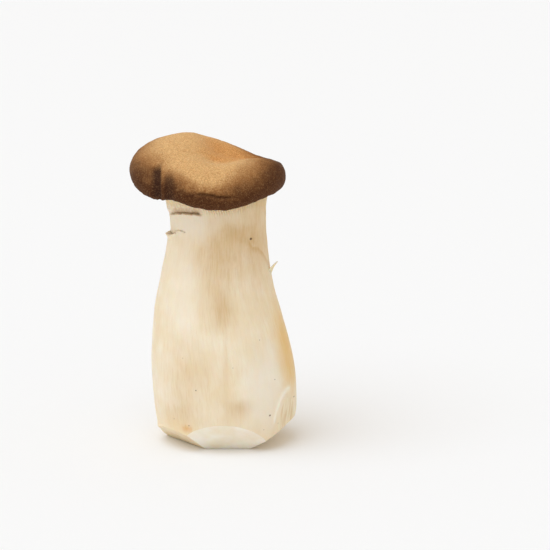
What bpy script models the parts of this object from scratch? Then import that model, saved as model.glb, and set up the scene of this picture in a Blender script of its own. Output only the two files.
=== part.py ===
"""King oyster mushroom, trimmed at the root and standing on its cut base.

A mushroom grows as one piece, so this is one closed solid: a stout stem, a cap that leans over its front,
and the funnel of gills between them, which runs down onto the stem. A knife has squared off the root.

Frame: metres, +Z up. The origin is the middle of the underside of the mushroom's box. The cap leans
towards -Y, and +X is to the right of someone who looks at that side.
"""

import math

import bmesh
import bpy
from mathutils import Matrix, Vector

MM = 0.001

# Driving dimensions
STEM_LENGTH = 88.0 * MM  # from the cut base to where the gills have become the cap
STEM_HALF_WIDTH = 26.8 * MM  # at the belly, a quarter of the way up
STEM_FLATTENING = 0.93  # depth over width
STEM_LOBES = 0.012  # how far its three soft sides stand out, as a share of its half-width
CAP_HALF_WIDTH = 29.1 * MM
CAP_CENTRE = Vector((-5.4, -1.0, 100.5)) * MM  # above the middle of the belly
CAP_NOD = math.radians(15.0)  # the cap leans towards -Y
CAP_LIST = math.radians(3.0)  # and a little towards +X
GILL_START = 78.0 * MM  # where the gills fade out on the stem

COLUMNS = 96  # faces around the mushroom
STEM_RINGS = 22
SKIN_TINT = (0.36, 0.22, 0.11, 1.0)

# The stem's outline, from below the cut upwards: height as a share of its length, sideways lean of the
# middle as a share of the belly's half-width, and half-width as a share of the belly's.
STEM_OUTLINE = (
    (-0.06, 0.00, 0.74),
    (0.00, 0.02, 0.86),
    (0.09, 0.03, 0.965),
    (0.22, 0.01, 1.00),
    (0.38, -0.03, 0.98),
    (0.54, -0.08, 0.89),
    (0.68, -0.11, 0.78),
    (0.82, -0.085, 0.70),
    (0.93, -0.08, 0.665),
    (1.02, -0.08, 0.70),
)

# The cap's rim, seen square on: direction in degrees, radius as a share of the cap's half-width, and how
# far the rim is raised as a share of the same.
RIM_OUTLINE = (
    (0, 1.00, 0.00),
    (40, 0.84, -0.095),
    (80, 0.82, -0.04),
    (120, 0.87, 0.03),
    (160, 0.96, 0.05),
    (200, 0.99, 0.03),
    (221, 0.95, -0.01),
    (245, 0.89, 0.04),
    (280, 0.87, -0.05),
    (320, 0.92, 0.01),
)

# The gills' curve from the stem to inside the rim: how far out, and how far up, each as a share of the way.
GILL_SECTION = (
    (0.02, 0.32),
    (0.09, 0.60),
    (0.27, 0.82),
    (0.60, 0.95),
    (1.00, 1.00),
)

# The cap's section over the rim and up the crown: distance out as a share of the rim's radius, and height
# above the rim's plane as a share of the cap's half-width.
RIM_SECTION = (
    (0.90, -0.115),
    (0.945, -0.13),
    (0.985, -0.10),
    (1.00, -0.03),
    (0.99, 0.04),
    (0.96, 0.10),
    (0.91, 0.155),
)
CROWN_SECTION = (
    (0.82, 0.225),
    (0.72, 0.28),
    (0.61, 0.32),
    (0.50, 0.35),
    (0.39, 0.37),
    (0.28, 0.385),
    (0.18, 0.395),
    (0.08, 0.40),
)

# The fold in the crown: a trough, and the ridge of a roll in front of it.
TROUGH_DEPTH = 6.8 * MM
TROUGH_BACK = 7.0 * MM  # behind the cap's middle
TROUGH_HALF_WIDTH = 9.0 * MM
TROUGH_START = -8.0 * MM  # it deepens from here towards +X, and is full depth at TROUGH_FULL
TROUGH_FULL = 6.0 * MM
RIDGE_FRONT = 5.0 * MM  # ahead of the cap's middle
RIDGE_HALF_WIDTH = 6.0 * MM
RIDGE_OUTLINE = (  # how far to the right of the cap's middle, and how far the ridge is raised, in mm
    (-40, 0.0),
    (-12, 0.0),
    (-3, -2.6),
    (3, -4.6),
    (8.5, -3.2),
    (14.7, -0.2),
    (18.8, 1.8),
    (24, 3.8),
    (40, 3.8),
)

# The knife's cuts through the root: a point on each and the way that the trimmed-off side lies.
ROOT_CUTS = (
    ("base", (0, 0, 0), (0, 0, -1)),
    ("front", (0, -14, 0), (0, -0.763, -0.646)),
    ("right", (9.8, -14, 0), (0.53, -0.05, -0.85)),
    ("right side", (20, -16.6, 12.9), (0.855, -0.50, -0.12)),
    ("left", (-6.4, -14, 0), (-0.47, -0.40, -0.787)),
    ("back", (0, 17, 0), (-0.10, 0.80, -0.60)),
)


def smooth_step(low, high, value):
    """0 below low, 1 above high, and an S between them."""
    share = min(1.0, max(0.0, (value - low) / (high - low)))
    return share * share * (3 - 2 * share)


def spline(points, at, period=None):
    """A smooth curve through rows of numbers, read where the first number is `at` (Catmull-Rom)."""
    rows = list(points)
    if period:
        at %= period
        before = [(row[0] - period, *row[1:]) for row in rows[-2:]]
        after = [(row[0] + period, *row[1:]) for row in rows[:2]]
        rows = before + rows + after
    last = len(rows) - 2
    index = max(i for i in range(last + 1) if i == 0 or rows[i][0] <= at)
    start, end = rows[index], rows[index + 1]
    previous, following = rows[max(0, index - 1)], rows[min(last + 1, index + 2)]
    span = end[0] - start[0]
    t = (at - start[0]) / span
    values = []
    for column in range(1, len(start)):
        slope_in = (end[column] - previous[column]) / (end[0] - previous[0]) * span
        slope_out = (following[column] - start[column]) / (following[0] - start[0]) * span
        values.append(
            (2 * t**3 - 3 * t**2 + 1) * start[column]
            + (t**3 - 2 * t**2 + t) * slope_in
            + (3 * t**2 - 2 * t**3) * end[column]
            + (t**3 - t**2) * slope_out
        )
    return values


def stem_point(angle, height):
    """A point on the stem's skin. The section is a soft, slightly three-sided oval."""
    lean, half_width = spline(STEM_OUTLINE, height / STEM_LENGTH)
    half_width *= STEM_HALF_WIDTH * (1 + STEM_LOBES * math.cos(3 * angle + 0.6))
    return Vector((
        lean * STEM_HALF_WIDTH + half_width * math.cos(angle),
        STEM_FLATTENING * half_width * math.sin(angle),
        height,
    ))


def crown_relief(across, back):
    """The fold in the crown's right side: a trough runs out to the right behind a roll, whose ridge climbs."""
    trough = TROUGH_DEPTH * smooth_step(TROUGH_START, TROUGH_FULL, across)
    trough *= math.exp(-(((back - TROUGH_BACK) / TROUGH_HALF_WIDTH) ** 2))
    ridge = spline(RIDGE_OUTLINE, across / MM)[0] * MM
    ridge *= math.exp(-(((back + RIDGE_FRONT) / RIDGE_HALF_WIDTH) ** 2))
    return ridge - trough


def cap_point(angle, out, height, on_crown=0.0):
    """A point on the cap: `out` is a share of the rim's radius, and `height` is above the rim's plane."""
    radius, lift = spline(RIM_OUTLINE, math.degrees(angle), period=360)
    reach = out * radius * CAP_HALF_WIDTH
    across, back = reach * math.cos(angle), reach * math.sin(angle)
    up = (height + lift * out**2) * CAP_HALF_WIDTH + on_crown * crown_relief(across, back)
    turn = Matrix.Rotation(CAP_NOD, 3, "X") @ Matrix.Rotation(CAP_LIST, 3, "Y")
    return CAP_CENTRE + turn @ Vector((across, back, up))


def gill_point(angle, out, up):
    """A point on the gills, which leave the stem's skin gently and flare out to the inside of the rim."""
    start, end = stem_point(angle, GILL_START), cap_point(angle, *RIM_SECTION[0])
    on_way = start.lerp(end, out)
    on_way.z = start.z + (end.z - start.z) * up
    return on_way


def rings():
    """Every ring of the mushroom, from under the cut root to the crown, as functions of the angle."""
    found = []
    lowest = STEM_OUTLINE[0][0] * STEM_LENGTH
    for i in range(STEM_RINGS + 1):
        height = lowest + (GILL_START - lowest) * i / STEM_RINGS
        found.append(lambda angle, height=height: stem_point(angle, height))
    for out, up in GILL_SECTION:
        found.append(lambda angle, out=out, up=up: gill_point(angle, out, up))
    for out, height in RIM_SECTION[1:]:
        found.append(lambda angle, o=out, h=height: cap_point(angle, o, h))
    for i, (out, height) in enumerate(CROWN_SECTION):
        on = smooth_step(-1, 3, i)  # the fold fades out over the outermost rings
        found.append(lambda angle, o=out, h=height, on=on: cap_point(angle, o, h, on))
    return found


def loft(bm, ring_points):
    """Skins the rings: a filled circle at the bottom, extruded from ring to ring, and closed at the top."""
    first = bmesh.ops.create_circle(bm, segments=COLUMNS, radius=1.0, cap_ends=True)["verts"]
    angles = [2 * math.pi * i / COLUMNS for i in range(COLUMNS)]
    row = sorted(first, key=lambda v: math.atan2(v.co.y, v.co.x) % (2 * math.pi))
    bmesh.ops.reverse_faces(bm, faces=bm.faces[:])
    for vert, angle in zip(row, angles):
        vert.co = ring_points[0](angle)
    for ring_point in ring_points[1:]:
        edges = [bm.edges.get((row[i], row[(i + 1) % COLUMNS])) for i in range(COLUMNS)]
        made = bmesh.ops.extrude_edge_only(bm, edges=edges)["geom"]
        new = {v for v in made if isinstance(v, bmesh.types.BMVert)}
        row = [next(e.other_vert(v) for e in v.link_edges if e.other_vert(v) in new) for v in row]
        for vert, angle in zip(row, angles):
            vert.co = ring_point(angle)
    top = bm.verts.new(sum((v.co for v in row), Vector()) / COLUMNS)
    for i in range(COLUMNS):
        bm.faces.new((row[i], row[(i + 1) % COLUMNS], top))
    bmesh.ops.recalc_face_normals(bm, faces=bm.faces[:])


def trim(bm, point, outwards):
    """One stroke of the knife: cuts away what lies outwards of the point, and closes the wound flat."""
    cut = bmesh.ops.bisect_plane(
        bm,
        geom=bm.verts[:] + bm.edges[:] + bm.faces[:],
        plane_co=Vector(point) * MM,
        plane_no=Vector(outwards).normalized(),
        clear_outer=True,
    )["geom_cut"]
    edges = [e for e in cut if isinstance(e, bmesh.types.BMEdge)]
    bmesh.ops.edgenet_fill(bm, edges=edges)


def stand_on_origin(bm):
    """Moves the mushroom sideways so that its box stands centrally on the origin."""
    for axis in (0, 1):
        sides = [v.co[axis] for v in bm.verts]
        offset = Vector((0, 0, 0))
        offset[axis] = -(min(sides) + max(sides)) / 2
        bmesh.ops.translate(bm, vec=offset, verts=bm.verts[:])


def mushroom_material():
    """Matt mushroom skin."""
    material = bpy.data.materials.new("mushroom_skin")
    material.use_nodes = True
    shader = material.node_tree.nodes["Principled BSDF"]
    shader.inputs["Base Color"].default_value = SKIN_TINT
    shader.inputs["Roughness"].default_value = 0.6
    shader.inputs["Metallic"].default_value = 0.0
    return material


def mushroom():
    """The whole mushroom, as one solid."""
    bm = bmesh.new()
    loft(bm, rings())
    for _name, point, outwards in ROOT_CUTS:
        trim(bm, point, outwards)
    bmesh.ops.recalc_face_normals(bm, faces=bm.faces[:])
    stand_on_origin(bm)
    mesh = bpy.data.meshes.new("king_oyster_mushroom")
    bm.to_mesh(mesh)
    bm.free()
    mesh.shade_smooth()
    mesh.set_sharp_from_angle(angle=math.radians(35))
    mesh.materials.append(mushroom_material())
    made = bpy.data.objects.new("king_oyster_mushroom", mesh)
    bpy.context.scene.collection.objects.link(made)
    return made


def main():
    for leftover in list(bpy.data.objects):
        bpy.data.objects.remove(leftover)
    mushroom()


main()
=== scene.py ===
# %% [markdown]
# # A king oyster mushroom
# A king oyster is nearly all stem: a thick, pale, fibrous stem, a small brown cap with a rolled margin, and
# between them a short funnel of gills that runs down onto the stem. This one stands on its root, which a
# knife has squared off, and the knife's cuts are as much a part of its look as the skin is.
#
# The whole mushroom grew as one piece, so it is modelled as one closed skin: a tube of rings, as a potter
# would pull it up, then subdivided, sculpted and cut. Colour comes last, in three layers: dabs of paint on
# the points of the skin for what has a place, node groups for what has a grain, and a material for each
# kind of surface.

# %% The frame, and what every step uses
import math

import bpy
import numpy as np
from mathutils import Matrix, Vector, noise


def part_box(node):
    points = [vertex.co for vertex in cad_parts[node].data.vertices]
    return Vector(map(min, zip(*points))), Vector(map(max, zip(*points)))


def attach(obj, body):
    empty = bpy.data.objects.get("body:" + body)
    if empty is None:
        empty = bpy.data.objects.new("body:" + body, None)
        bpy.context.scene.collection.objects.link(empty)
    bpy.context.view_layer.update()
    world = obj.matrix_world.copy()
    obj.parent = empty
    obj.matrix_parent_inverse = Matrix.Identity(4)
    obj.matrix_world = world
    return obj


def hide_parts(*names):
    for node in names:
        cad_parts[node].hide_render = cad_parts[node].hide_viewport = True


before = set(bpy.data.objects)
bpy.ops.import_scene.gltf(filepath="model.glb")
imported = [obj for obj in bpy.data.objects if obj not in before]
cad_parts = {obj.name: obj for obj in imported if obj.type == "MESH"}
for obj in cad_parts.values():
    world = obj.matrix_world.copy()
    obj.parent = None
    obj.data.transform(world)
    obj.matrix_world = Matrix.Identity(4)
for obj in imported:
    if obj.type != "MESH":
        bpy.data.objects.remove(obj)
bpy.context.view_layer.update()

MM = 0.001

# %% [markdown]
# ## Two helpers for drawing
# An outline is easy to draw as a few rows of numbers, and easy to correct by changing one of them. `spline`
# runs through such rows as a bent lath runs through pins. `ease` fades something in or out without a visible
# start or end. A curve object could be drawn by hand instead, but a function can be asked for a point
# anywhere, and the rings below need points everywhere.

# %% Helpers: a smooth curve and a soft step
def spline(points, at, period=None):
    """A smooth curve through rows of numbers, read where the first number is `at` (Catmull-Rom)."""
    rows = list(points)
    if period:
        at %= period
        before = [(row[0] - period, *row[1:]) for row in rows[-2:]]
        after = [(row[0] + period, *row[1:]) for row in rows[:2]]
        rows = before + rows + after
    last = len(rows) - 2
    index = max(i for i in range(last + 1) if i == 0 or rows[i][0] <= at)
    start, end = rows[index], rows[index + 1]
    previous, following = rows[max(0, index - 1)], rows[min(last + 1, index + 2)]
    span = end[0] - start[0]
    t = (at - start[0]) / span
    values = []
    for column in range(1, len(start)):
        slope_in = (end[column] - previous[column]) / (end[0] - previous[0]) * span
        slope_out = (following[column] - start[column]) / (following[0] - start[0]) * span
        values.append(
            (2 * t**3 - 3 * t**2 + 1) * start[column]
            + (t**3 - 2 * t**2 + t) * slope_in
            + (3 * t**2 - 2 * t**3) * end[column]
            + (t**3 - t**2) * slope_out
        )
    return values


def ease(low, high, value):
    """0 below low, 1 above high and an S between them. It fades out instead when low is the larger one."""
    share = np.clip((value - low) / (high - low), 0.0, 1.0)
    return share * share * (3 - 2 * share)

print("a soft step is", float(ease(0, 1, 0.5)), "half-way up and", float(ease(0, 1, 2)), "above")

# %% [markdown]
# ## The shape, in four stretches
# Going up the skin there are four stretches: the stem, the funnel of gills, the rim that rolls over from the
# underside to the top, and the crown. Each could be pushed into shape by hand, but then a change to the stem
# would undo the cap. So each is drawn by a short outline, and the rim also has a plan, because a king
# oyster's cap is never round. The numbers are the solid's own, with two exceptions: the cap is 0.3 mm
# narrower on each side, which leaves room for the relief, and the ridge of its fold lies up to 0.9 mm lower.

# %% The stem's outline, and the places of the cap and the gills
STEM_LENGTH = 88.0 * MM
STEM_HALF_WIDTH = 26.8 * MM
STEM_FLATTENING = 0.93
STEM_LOBES = 0.012  # how far the section is from a plain oval
CAP_HALF_WIDTH = 28.8 * MM
CAP_CENTRE = Vector((-5.4, -1.0, 100.5)) * MM
CAP_TURN = Matrix.Rotation(math.radians(15.0), 3, "X") @ Matrix.Rotation(math.radians(3.0), 3, "Y")
GILL_START = 78.0 * MM

STEM_OUTLINE = (  # height, sideways lean and half-width, as shares
    (-0.06, 0.00, 0.74),
    (0.00, 0.02, 0.86),
    (0.09, 0.03, 0.965),
    (0.22, 0.01, 1.00),
    (0.38, -0.03, 0.98),
    (0.54, -0.08, 0.89),
    (0.68, -0.11, 0.78),
    (0.82, -0.085, 0.70),
    (0.93, -0.08, 0.665),
    (1.02, -0.08, 0.70),
)
print("the stem is", round(2 * STEM_HALF_WIDTH / MM, 1), "mm wide at its belly")

# %% The plan of the rim, and the sections of the gills, the rim and the crown
RIM_OUTLINE = (  # direction in degrees, radius and lift, as shares
    (0, 1.00, 0.00),
    (40, 0.84, -0.095),
    (80, 0.82, -0.04),
    (120, 0.87, 0.03),
    (160, 0.96, 0.05),
    (200, 0.99, 0.03),
    (221, 0.95, -0.01),
    (245, 0.89, 0.04),
    (280, 0.87, -0.05),
    (320, 0.92, 0.01),
)
GILL_SECTION = (  # share of the way along it, then how far out and how far up
    (0.0, 0.00, 0.00),
    (0.2, 0.02, 0.32),
    (0.4, 0.09, 0.60),
    (0.6, 0.27, 0.82),
    (0.8, 0.60, 0.95),
    (1.0, 1.00, 1.00),
)
RIM_SECTION = (  # share of the way along it, then distance out and height
    (0.0, 0.90, -0.115),
    (0.15, 0.945, -0.13),
    (0.32, 0.985, -0.10),
    (0.5, 1.00, -0.03),
    (0.67, 0.99, 0.04),
    (0.84, 0.96, 0.10),
    (1.0, 0.91, 0.155),
)
CROWN_TOP = 0.40
CROWN_END = 0.92  # share of the way along the crown at which the last ring lies
CROWN_SECTION = (
    (0.0, 0.91, 0.155),
    (0.11, 0.82, 0.225),
    (0.22, 0.72, 0.28),
    (0.34, 0.61, 0.32),
    (0.46, 0.50, 0.35),
    (0.58, 0.39, 0.37),
    (0.70, 0.28, 0.385),
    (0.81, 0.18, 0.395),
    (CROWN_END, 0.08, CROWN_TOP),
)
print("the cap is about", round(2 * CAP_HALF_WIDTH / MM, 1), "mm wide")

# %% The fold across the crown
TROUGH_DEPTH = 6.8 * MM
TROUGH_START, TROUGH_FULL = -8 * MM, 6 * MM  # going right from the cap's middle
TROUGH_BACK, TROUGH_SPREAD = 7 * MM, 9 * MM
RIDGE_BACK, RIDGE_SPREAD = -5 * MM, 6 * MM
RIDGE_OUTLINE = (  # the fold's ridge: how far right of the cap's middle, and how far it is raised, in mm
    (-40, 0.0),
    (-12, 0.0),
    (-3, -2.6),
    (3, -4.6),
    (8.5, -3.2),
    (14.7, -0.7),
    (18.8, 0.9),
    (24, 3.0),
    (40, 3.4),
)


def crown_fold(across, back):
    """The crown's fold: a trough that runs out to the right, behind a roll whose ridge climbs."""
    trough = TROUGH_DEPTH * float(ease(TROUGH_START, TROUGH_FULL, across))
    trough *= math.exp(-(((back - TROUGH_BACK) / TROUGH_SPREAD) ** 2))
    ridge = spline(RIDGE_OUTLINE, across / MM)[0] * MM
    ridge *= math.exp(-(((back - RIDGE_BACK) / RIDGE_SPREAD) ** 2))
    return ridge - trough


print("the trough is", round(-crown_fold(15 * MM, TROUGH_BACK) / MM, 1), "mm deep on the right")


# %% A point on the stem, on the cap and on the gills
def stem_point(angle, height):
    """A point on the stem's skin, whose section is a soft, slightly three-sided oval."""
    lean, half_width = spline(STEM_OUTLINE, height / STEM_LENGTH)
    half_width *= STEM_HALF_WIDTH * (1 + STEM_LOBES * math.cos(3 * angle + 0.6))
    return Vector((
        lean * STEM_HALF_WIDTH + half_width * math.cos(angle),
        STEM_FLATTENING * half_width * math.sin(angle),
        height,
    ))


def cap_point(angle, out, height, on_crown=0.0):
    """A point on the cap: `out` is a share of the rim's radius, and `height` is above the rim's plane."""
    radius, lift = spline(RIM_OUTLINE, math.degrees(angle), period=360)
    reach = out * radius * CAP_HALF_WIDTH
    across, back = reach * math.cos(angle), reach * math.sin(angle)
    up = (height + lift * out**2) * CAP_HALF_WIDTH + on_crown * crown_fold(across, back)
    return CAP_CENTRE + CAP_TURN @ Vector((across, back, up))


def gill_point(angle, share):
    """A point on the gills, which leave the stem gently and flare out to the inside of the rim."""
    out, up = spline(GILL_SECTION, share)
    start, end = stem_point(angle, GILL_START), cap_point(angle, *RIM_SECTION[0][1:])
    on_way = start.lerp(end, out)
    on_way.z = start.z + (end.z - start.z) * up
    return on_way


print("the cap's right edge lies at", [round(v / MM, 1) for v in cap_point(0, 1, 0)], "mm")

# %% [markdown]
# ## The rings
# A ring is a place along the skin: 0 to 1 is stem, 1 to 2 gills, 2 to 3 rim and 3 to 4 crown. Rings could be
# spaced evenly, but they are worth most where the shape turns or where fine work comes later. So they lie
# close together at the root, the neck and the gills, and far apart on the smooth belly.

# %% The rings, from under the cut to the crown
STEM_FOOT = -5.3 * MM
ROOT_TOP = 23.0 * MM
NECK = 66.0 * MM
ROOT_RINGS, BELLY_RINGS, NECK_RINGS = 8, 5, 6
GILL_RINGS, RIM_RINGS, CROWN_RINGS = 14, 6, 8
GILL_CROWDING = 1.3


def places_from(first, count, crowding=1.0):
    """Places in the stretch from `first` up, crowded towards its start, without it and with its end."""
    return [first + ((i + 1) / count) ** crowding for i in range(count)]


def up_stem(low, high, count):
    """Places on the stem, evenly spaced between two heights, without the first and with the last."""
    heights = [low + (high - low) * (i + 1) / count for i in range(count)]
    return [(height - STEM_FOOT) / (GILL_START - STEM_FOOT) for height in heights]


root = up_stem(STEM_FOOT, ROOT_TOP, ROOT_RINGS)
belly = up_stem(ROOT_TOP, NECK, BELLY_RINGS)
neck = up_stem(NECK, GILL_START, NECK_RINGS)
gills = places_from(1, GILL_RINGS, GILL_CROWDING)
rim = places_from(2, RIM_RINGS)
crown = [3 + CROWN_END * (i + 1) / CROWN_RINGS for i in range(CROWN_RINGS)]
PLACES = [0.0] + root + belly + neck + gills + rim + crown


def skin_point(angle, place):
    """The point of the skin in this direction and at this place along it."""
    if place <= 1:
        return stem_point(angle, STEM_FOOT + (GILL_START - STEM_FOOT) * place)
    if place <= 2:
        return gill_point(angle, place - 1)
    if place <= 3:
        return cap_point(angle, *spline(RIM_SECTION, place - 2))
    fold = float(ease(-0.11, 0.33, place - 3))  # the fold fades out towards the rim
    return cap_point(angle, *spline(CROWN_SECTION, place - 3), fold)


print(len(PLACES), "rings")

# %% [markdown]
# ## The cage
# A tube is pulled up as a potter would do it: one circle, extruded ring by ring, and closed by poking the
# last face. It is straight at first, so that each point's ring and direction can be read from its place.
# Then every ring is pushed to its outline, and two levels of subdivision round it off. A sphere pulled to
# shape would need no extruding, but its rings crowd at the poles instead of at the gills.
#
# The circle has 128 points, which is twice the number of long gills. Subdivided twice, that gives each gill
# eight columns of faces: enough to carve a long blade and a short one between.


# %% Helpers: selecting
def select_nothing():
    """Leaves edit mode and deselects every object, because an operator acts on all that is selected."""
    if bpy.context.object and bpy.context.object.mode != "OBJECT":
        bpy.ops.object.mode_set(mode="OBJECT")
    bpy.ops.object.select_all(action="DESELECT")


def take(piece):
    """Makes one piece the selected and active object."""
    select_nothing()
    piece.select_set(True)
    bpy.context.view_layer.objects.active = piece


# %% Pull up the tube
LONG_GILLS = 64
CAGE_COLUMNS = 2 * LONG_GILLS
TUBE_RADIUS = 0.03
STEP = 0.01

select_nothing()
bpy.ops.mesh.primitive_circle_add(vertices=CAGE_COLUMNS, radius=TUBE_RADIUS, fill_type="NGON")
mushroom = bpy.context.object
mushroom.name = "mushroom"
mushroom.data.name = "mushroom"
bpy.ops.object.mode_set(mode="EDIT")
bpy.ops.mesh.select_all(action="SELECT")
for _ring in PLACES[1:]:
    bpy.ops.mesh.extrude_region_move(TRANSFORM_OT_translate={"value": (0, 0, STEP)})
bpy.ops.mesh.poke()
bpy.ops.mesh.select_all(action="SELECT")
bpy.ops.mesh.normals_make_consistent(inside=False)
bpy.ops.object.mode_set(mode="OBJECT")
print(len(mushroom.data.vertices), "points in the cage")


# %% Push the rings to their outlines, and note where each point is on the skin
def note(mesh, name, values, kind="FLOAT", field="value"):
    """Keeps one value for each point of the mesh, under a name that materials can read."""
    layer = mesh.attributes.get(name) or mesh.attributes.new(name, kind, "POINT")
    layer.data.foreach_set(field, np.asarray(values, np.float32).ravel())


def noted(mesh, name):
    """Reads back one noted number for each point of the mesh."""
    values = np.zeros(len(mesh.vertices), np.float32)
    mesh.attributes[name].data.foreach_get("value", values)
    return values.astype(float)


cosines, sines, places = [], [], []
for vertex in mushroom.data.vertices:
    ring = round(vertex.co.z / STEP)
    angle = math.atan2(vertex.co.y, vertex.co.x)
    at_pole = vertex.co.xy.length < STEP
    place = 4.0 if at_pole else PLACES[ring]
    cosines.append(0.0 if at_pole else math.cos(angle))
    sines.append(0.0 if at_pole else math.sin(angle))
    places.append(place)
    vertex.co = cap_point(0, 0, CROWN_TOP, 1.0) if at_pole else skin_point(angle, place)
note(mushroom.data, "toward_x", cosines)
note(mushroom.data, "toward_y", sines)
note(mushroom.data, "place", places)
print("the top lies at", round(max(vertex.co.z for vertex in mushroom.data.vertices) / MM, 1), "mm")

# %% Round it off
rounding = mushroom.modifiers.new("rounding", "SUBSURF")
rounding.levels = rounding.render_levels = 2
take(mushroom)
bpy.ops.object.modifier_apply(modifier=rounding.name)
print(len(mushroom.data.polygons), "faces after subdivision")

# %% [markdown]
# ## Sculpting the relief
# A real skin is never as smooth as its outlines. A brush could do this by hand, but then nobody could say
# again what it did, so the relief is sculpted in code: each stroke below moves the points along their
# normals by so many millimetres, and is at home in one place. Strokes are placed in millimetres: `x` to the
# right, `z` up, and on the cap in the cap's own turned frame.

# %% What the strokes need to know of every point
mesh = mushroom.data
count = len(mesh.vertices)
points = np.zeros(count * 3, np.float32)
mesh.vertices.foreach_get("co", points)
points = points.reshape(-1, 3).astype(float)
normals = np.zeros(count * 3, np.float32)
mesh.vertex_normals.foreach_get("vector", normals)
normals = normals.reshape(-1, 3).astype(float)
angle = np.arctan2(noted(mesh, "toward_y"), noted(mesh, "toward_x"))
degrees = np.degrees(angle) % 360
place = noted(mesh, "place")
x, y, z = (points / MM).T
in_cap = ((points - np.array(CAP_CENTRE)) @ np.array(CAP_TURN)) / MM
across, back, up = in_cap.T
on_stem = ease(1.35, 1.1, place)
on_cap = ease(1.95, 2.05, place)
front = ease(3.0, -2.0, y)
print(count, "points to sculpt")


# %% Helper: roughness, which also runs along the unrolled skin
def rough(scale, seed, stretch=(1.0, 1.0, 1.0), source=None):
    """Smooth noise from -1 to 1 at every point. Scale is the size of its lumps in mm."""
    offset = Vector((seed * 17.3, seed * 5.1, seed * 9.7))
    factors = np.array(stretch) / scale
    scaled = (points / MM if source is None else source) * factors
    return np.array([noise.noise(Vector(p) + offset) for p in scaled])


AROUND_MM = 24.0  # the skin unrolled: a fibre keeps its direction round the stem
along_mm = np.interp(place, (0, 1, 2, 3, 4), (-5.3, 78, 98, 107.5, 134))
unrolled = np.column_stack((AROUND_MM * np.cos(angle), AROUND_MM * np.sin(angle), along_mm))
print("the unrolled skin is", round(float(np.ptp(along_mm)), 1), "mm long")

# %% Flesh: soft lumps, and fibres that run up the stem
LUMP_DEPTH, DIMPLE_DEPTH = 0.30, 0.10
FIBRE_DEPTH, WIDE_FIBRE_DEPTH = 0.04, 0.07
relief = np.zeros(count)
relief += LUMP_DEPTH * (rough(14, 1) - 0.8)  # on the whole the skin lies just inside the solid
relief += DIMPLE_DEPTH * rough(5, 2)
fibres = rough(1.1, 3, (1, 1, 0.06), unrolled)
wide_fibres = rough(3.2, 4, (1, 1, 0.08), unrolled)
relief += on_stem * (FIBRE_DEPTH * fibres + WIDE_FIBRE_DEPTH * wide_fibres)
print("lumps and fibres, from", round(float(relief.min()), 2), "to", round(float(relief.max()), 2), "mm")

# %% [markdown]
# ## Gills
# A king oyster's gills are thin blades that run from the stem to the rim, with a shorter one between each
# pair. Hundreds of loose sheets would be the other way to make them, but these stay one skin with the stem:
# the valleys between the blades are sunk into the funnel. On the front they stop short, where the skin is
# smooth.

# %% Gills: a long blade and a short one for every eight columns
GILL_DEPTH = 1.9
BLADE_HALF_WIDTH = 0.21  # as a share of the way from one long blade to the next
BLADE_ROUNDING = 0.8
turn = (degrees / 360 * LONG_GILLS + 0.22 * rough(9, 5)) % 1.0
long_blade = np.clip(1 - np.abs((turn + 0.5) % 1.0 - 0.5) / BLADE_HALF_WIDTH, 0, 1) ** BLADE_ROUNDING
short_blade = np.clip(1 - np.abs(turn - 0.5) / BLADE_HALF_WIDTH, 0, 1) ** BLADE_ROUNDING
short_blade *= ease(1.35, 1.75, place + 0.25 * rough(6, 6))
bare = ease(-0.2, 0.7, -np.sin(angle))  # on the front the blades stop short of the stem
gill_top = ease(0.0, 0.55, place - 1.02 - 0.36 * bare - 0.05 * rough(8, 17)) * ease(2.14, 1.96, place)
valley = 1 - np.maximum(long_blade, short_blade)
relief -= GILL_DEPTH * gill_top * valley
print("gill valleys reach", round(float(GILL_DEPTH * gill_top.max()), 2), "mm deep")

# %% [markdown]
# ## Tears
# Under the cap on the left the skin has torn twice, with a notch between the tears and a short crack below.
# A tear is a line with two different sides: the flesh sinks above it and the lip turns out below it. Cutting
# the mesh open would leave loose edges, so each tear is a sharp step in the relief along a drawn line.


# %% Helper: a tear
def along_line(line, at):
    """Height of a line of (x, z) points, in mm."""
    return np.interp(at, [p[0] for p in line], [p[1] for p in line])


def tear(line, depth, height, lip, taper=1.2):
    """A slit with its flesh sunk above the line and its lip turned out below it."""
    above = z - along_line(line, x) - 0.12 * rough(0.9, 7)
    starts = ease(line[0][0] - taper, line[0][0] + taper, x)
    stops = ease(line[-1][0] + taper, line[-1][0] - taper, x)
    where = starts * stops * front * ease(2.0, 1.9, place)
    sunk = np.where(above > 0, np.exp(-above / height), ease(-0.15, 0.0, above)) * where
    turned_out = np.where(above <= 0, np.exp(above / 0.9), 0.0) * where
    return sunk, lip * turned_out - depth * sunk


# %% Two tears, a crack and a notch
UPPER_TEAR = (
    (-19.6, 85.3), (-18.7, 85.9), (-16.4, 86.8), (-14.1, 87.2), (-11.5, 87.2), (-9.7, 87.5), (-7.4, 87.1),
)
LOWER_TEAR = ((-23.0, 77.8), (-20.2, 78.3), (-18.6, 78.3), (-17.5, 79.3))
CRACK = ((-17.6, 79.9), (-15.7, 80.8), (-14.4, 80.7), (-13.2, 80.2))
NOTCH_DEPTH = 0.6
upper_sunk, stroke = tear(UPPER_TEAR, depth=0.95, height=0.9, lip=0.3)
relief += stroke
lower_sunk, stroke = tear(LOWER_TEAR, depth=1.1, height=0.8, lip=1.8)
relief += stroke
crack_sunk, stroke = tear(CRACK, depth=0.5, height=0.25, lip=0.1, taper=0.6)
relief += stroke
torn = np.clip(upper_sunk + lower_sunk + 0.8 * crack_sunk, 0, 1)
notch = ease(5.5, 2.0, np.abs(z - 82.5)) * ease(-15.0, -19.0, x) * ease(2.0, 1.9, place)
relief -= NOTCH_DEPTH * notch
print(int((torn > 0.5).sum()), "points lie in a tear")

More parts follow.
